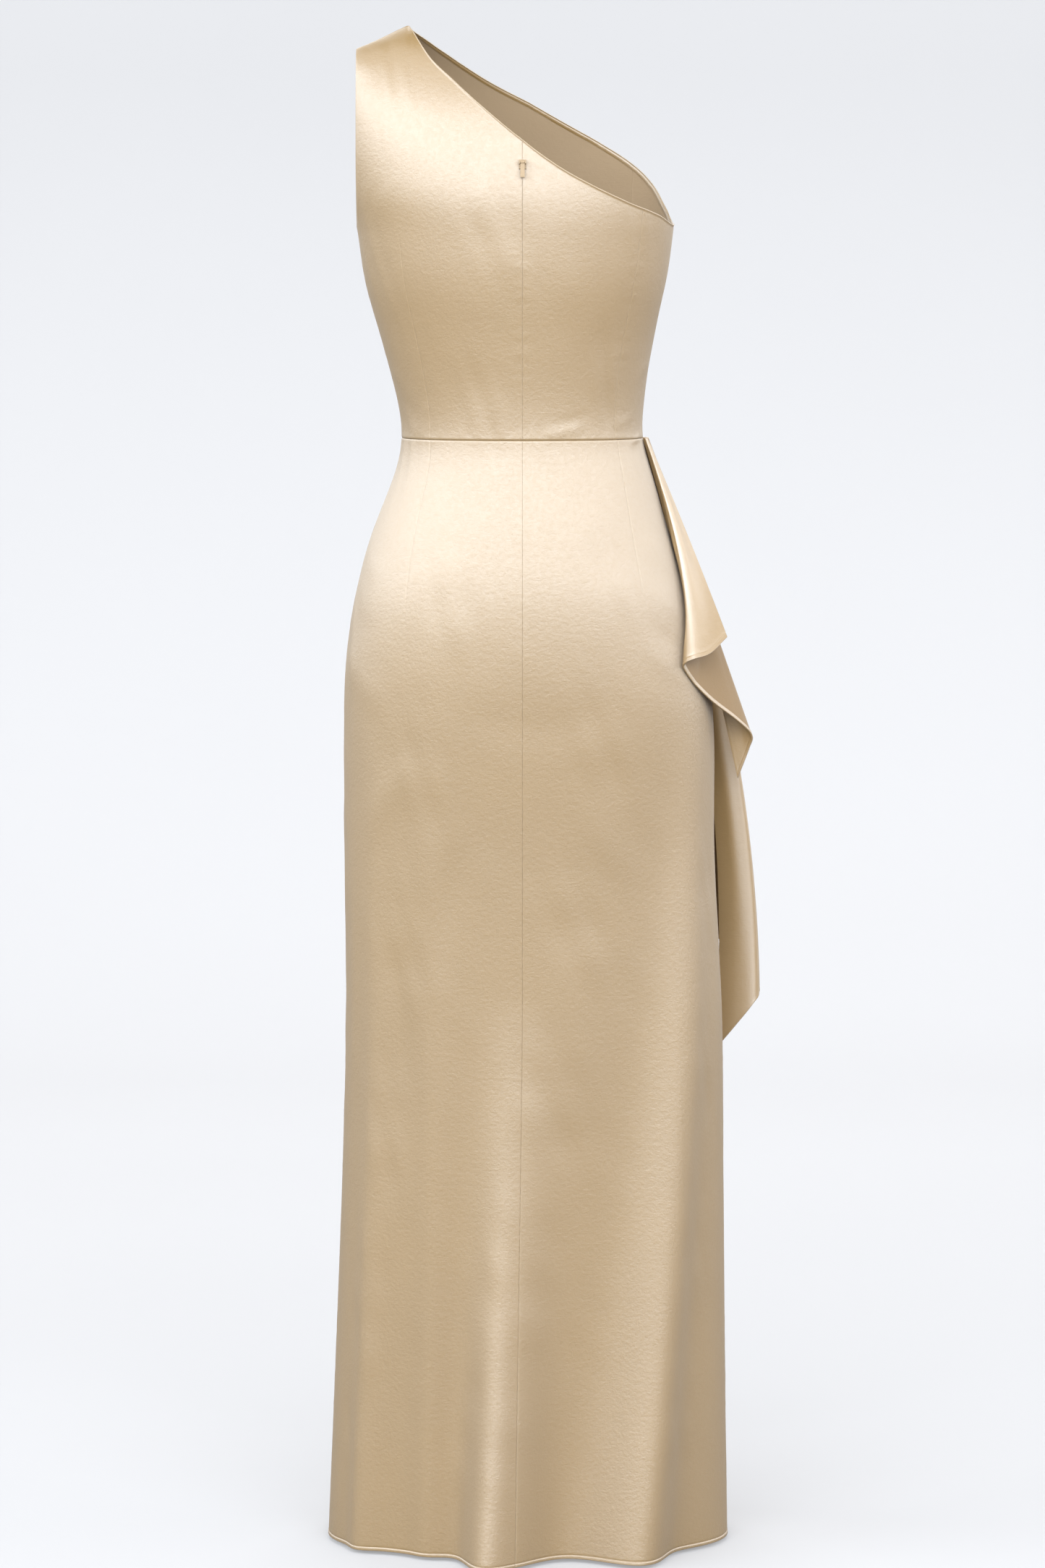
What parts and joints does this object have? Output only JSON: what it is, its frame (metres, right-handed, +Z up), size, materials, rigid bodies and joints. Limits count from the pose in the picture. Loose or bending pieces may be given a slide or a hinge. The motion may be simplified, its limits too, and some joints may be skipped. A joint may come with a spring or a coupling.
{
  "type": "one-shoulder dress",
  "caption": "Floor-length one-shoulder gown in satin, filled out as worn: fitted bodice, column skirt with soft folds, and a cascade drape on the right hip.",
  "frame": {"origin": "inside of the shoulder seam at the middle of the strap, where the wearer's left shoulder carries the gown", "axes": "+X the wearer's left, +Y the wearer's back, +Z up"},
  "size_m": [0.436, 0.3334, 1.5103],
  "materials": {
    "satin": "smooth satin, right side out",
    "satin_drape": "smooth satin with a dull inside that shows in the folds",
    "zip_tape": "woven tape",
    "zip_metal": "enamel in the cloth's colour"
  },
  "bodies": {
    "gown": {"bodice_front": "satin", "bodice_side_right": "satin", "bodice_back_right": "satin", "bodice_back_left": "satin", "skirt_front": "satin", "skirt_back_left": "satin", "skirt_back_right": "satin", "cascade_flounce": "satin_drape", "cascade_tail": "satin_drape", "back_zip": "zip_tape", "zip_slider": "zip_metal"},
    "pull_tab": {"zip_pull": "zip_metal"}
  },
  "joints": [
    {"name": "pull_tab_swing", "type": "hinge", "parent": "gown", "child": "pull_tab", "pos_m": [-0.139, 0.09848, -0.12037], "axis": [1, 0, 0], "range_deg": [0, 150]}
  ]
}
